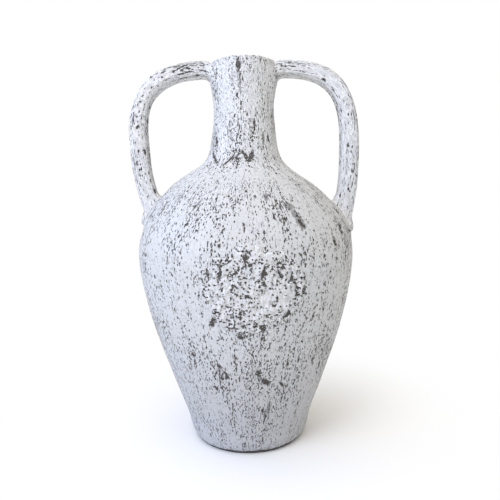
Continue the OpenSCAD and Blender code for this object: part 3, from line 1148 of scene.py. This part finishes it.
def clay_material(name):
    """Bare dark clay, gritty and matt, for what the slip never reached."""
    material = bpy.data.materials.new(name)
    tree = emptied(material)
    coords = {"place": add_node(tree, "TexCoord").outputs["Object"]}
    grit = grain(tree, coords, 0.0020, 3.0, 0.7)
    shade = mix_colour(tree, grain(tree, coords, 0.030, 2.0, 0.5), *BARE_CLAY)
    colour = mix_colour(tree, between(tree, grit, 0.55, 0.7), shade, CLAY_GRIT)
    rough_surface(tree, colour, 0.93, 0.5, (grit, 0.8, 0.0006))
    return material


# ---- Stage ----

SIDE_LIGHT = (0.34, 0.34, 0.34, 1)
TOP_LIGHT = (1.12, 1.06, 0.96, 1)
WINDOW_LIGHT = (0.95, 1.20, 1.85, 1)
WINDOW_WAY = (-0.88, -0.42, 0.12)
KEY_PLACE = Vector((-0.7, -1.1, 1.5))
KEY_TARGET = Vector((0, 0, 0.45))
BACKDROP = (1, 1, 1, 1)
PALE_FLOOR = (0.93, 0.93, 0.93, 1)
FLOOR_REACH = 6.0

# Camera fitted to the photo: millimetres, metres, and degrees down, round and over
LENS = 36.34
SENSOR = 36.0
CAMERA_PLACE = (0, -0.817, 0.420)
CAMERA_DOWN = 8.0
CAMERA_ROUND = -0.41
CAMERA_OVER = -0.94


def sweep_material(name):
    """Matt pale floor that turns into a lit white sweep away from the piece."""
    material = bpy.data.materials.new(name)
    tree = emptied(material)
    place = add_node(tree, "TexCoord").outputs["Object"]
    away = add_node(tree, "VectorMath", {0: place}, operation="LENGTH").outputs["Value"]
    near = add_node(tree, "BsdfDiffuse", {"Color": PALE_FLOOR})
    far = add_node(tree, "Emission", {"Color": BACKDROP})
    both = add_node(tree, "MixShader", {
        0: between(tree, away, 0.12, 0.45), 1: near.outputs["BSDF"], 2: far.outputs["Emission"]})
    add_node(tree, "OutputMaterial", {"Surface": both.outputs["Shader"]})
    return material


def floor():
    mesh = bpy.data.meshes.new("floor")
    corners = [(FLOOR_REACH * x, FLOOR_REACH * y, 0) for x, y in ((-1, -1), (1, -1), (1, 1), (-1, 1))]
    mesh.from_pydata(corners, [], [(0, 1, 2, 3)])
    mesh.materials.append(sweep_material("pale_floor"))
    placed("floor", mesh)


def key_light():
    lamp = bpy.data.lights.new("key", "AREA")
    lamp.shape = "DISK"
    lamp.size = 0.9
    lamp.energy = 13
    lamp.color = (1.0, 0.99, 0.98)
    holder = placed("key", lamp)
    holder.location = KEY_PLACE
    holder.rotation_euler = (KEY_TARGET - KEY_PLACE).to_track_quat("-Z", "Y").to_euler()


def lobe(tree, ways, toward, low, high):
    """Rises from 0 to 1 as a direction nears toward, between two cosines."""
    inputs = {0: ways, 1: Vector(toward).normalized()}
    near = add_node(tree, "VectorMath", inputs, operation="DOT_PRODUCT")
    return between(tree, near.outputs["Value"], low, high)


def sky():
    """Soft studio light, bright overhead and cool from the left, in front of a plain white backdrop."""
    world = bpy.data.worlds.new("studio")
    tree = emptied(world)
    ways = add_node(tree, "TexCoord").outputs["Generated"]
    light = mix_colour(tree, lobe(tree, ways, (0, 0, 1), 0.15, 0.85), SIDE_LIGHT, TOP_LIGHT)
    light = mix_colour(tree, lobe(tree, ways, WINDOW_WAY, 0.35, 0.95), light, WINDOW_LIGHT)
    lighting = add_node(tree, "Background", {"Color": light})
    backdrop = add_node(tree, "Background", {"Color": BACKDROP})
    seen = add_node(tree, "LightPath").outputs["Is Camera Ray"]
    both = add_node(tree, "MixShader", {
        0: seen, 1: lighting.outputs["Background"], 2: backdrop.outputs["Background"]})
    add_node(tree, "OutputWorld", {"Surface": both.outputs["Shader"]})
    bpy.context.scene.world = world


def camera():
    lens = bpy.data.cameras.new("camera")
    lens.sensor_width = SENSOR
    lens.lens = LENS
    holder = placed("camera", lens)
    tilt = Matrix.Rotation(radians(90 - CAMERA_DOWN), 4, "X")
    over = Matrix.Rotation(radians(CAMERA_OVER), 4, "Z")
    yaw = Matrix.Rotation(radians(CAMERA_ROUND), 4, "Z")
    holder.matrix_world = Matrix.Translation(CAMERA_PLACE) @ yaw @ tilt @ over
    bpy.context.scene.camera = holder


# ---- Scene ----

wall_slip = slip_material("wall_slip", 0.0020, 2.1, 0.16, 0.599, 0.0, 0.40)
left_slip = slip_material("left_handle_slip", 0.0016, 3.6, 0.26, 0.612, 1.0, 0.15)
# The right handle takes less of the brighter white than the left: painted shade for the handle on the side
# away from the key light
right_slip = slip_material("right_handle_slip", 0.0014, 4.6, 0.24, 0.610, 0.8, 0.50)
relief_slip = slip_material("relief_slip", 0.0034, 1.0, 0.20, 0.610, 0.8, 0.60)
clay = clay_material("bare_clay")

base_slab(wall_slip)
floor_coil(clay)
revolve_wall("lower_wall", wall_slip, wall_profile(FLOOR_Z, BELLY_SEAM_Z))
revolve_wall("belly_wall", wall_slip, wall_profile(BELLY_SEAM_Z, SHOULDER_SEAM_Z))
revolve_wall("shoulder", wall_slip, wall_profile(SHOULDER_SEAM_Z, NECK_SEAM_Z))
neck_coil(clay)
revolve_wall("neck", wall_slip, wall_profile(NECK_SEAM_Z, LIP_Z), NECK_COLUMNS)
revolve_wall("lip_ring", wall_slip, lip_profile(), NECK_COLUMNS)
build_handle("left", left_slip)
build_handle("right", right_slip)
front_relief(relief_slip)

floor()
sky()
key_light()
camera()
bpy.context.scene.view_settings.view_transform = "Standard"
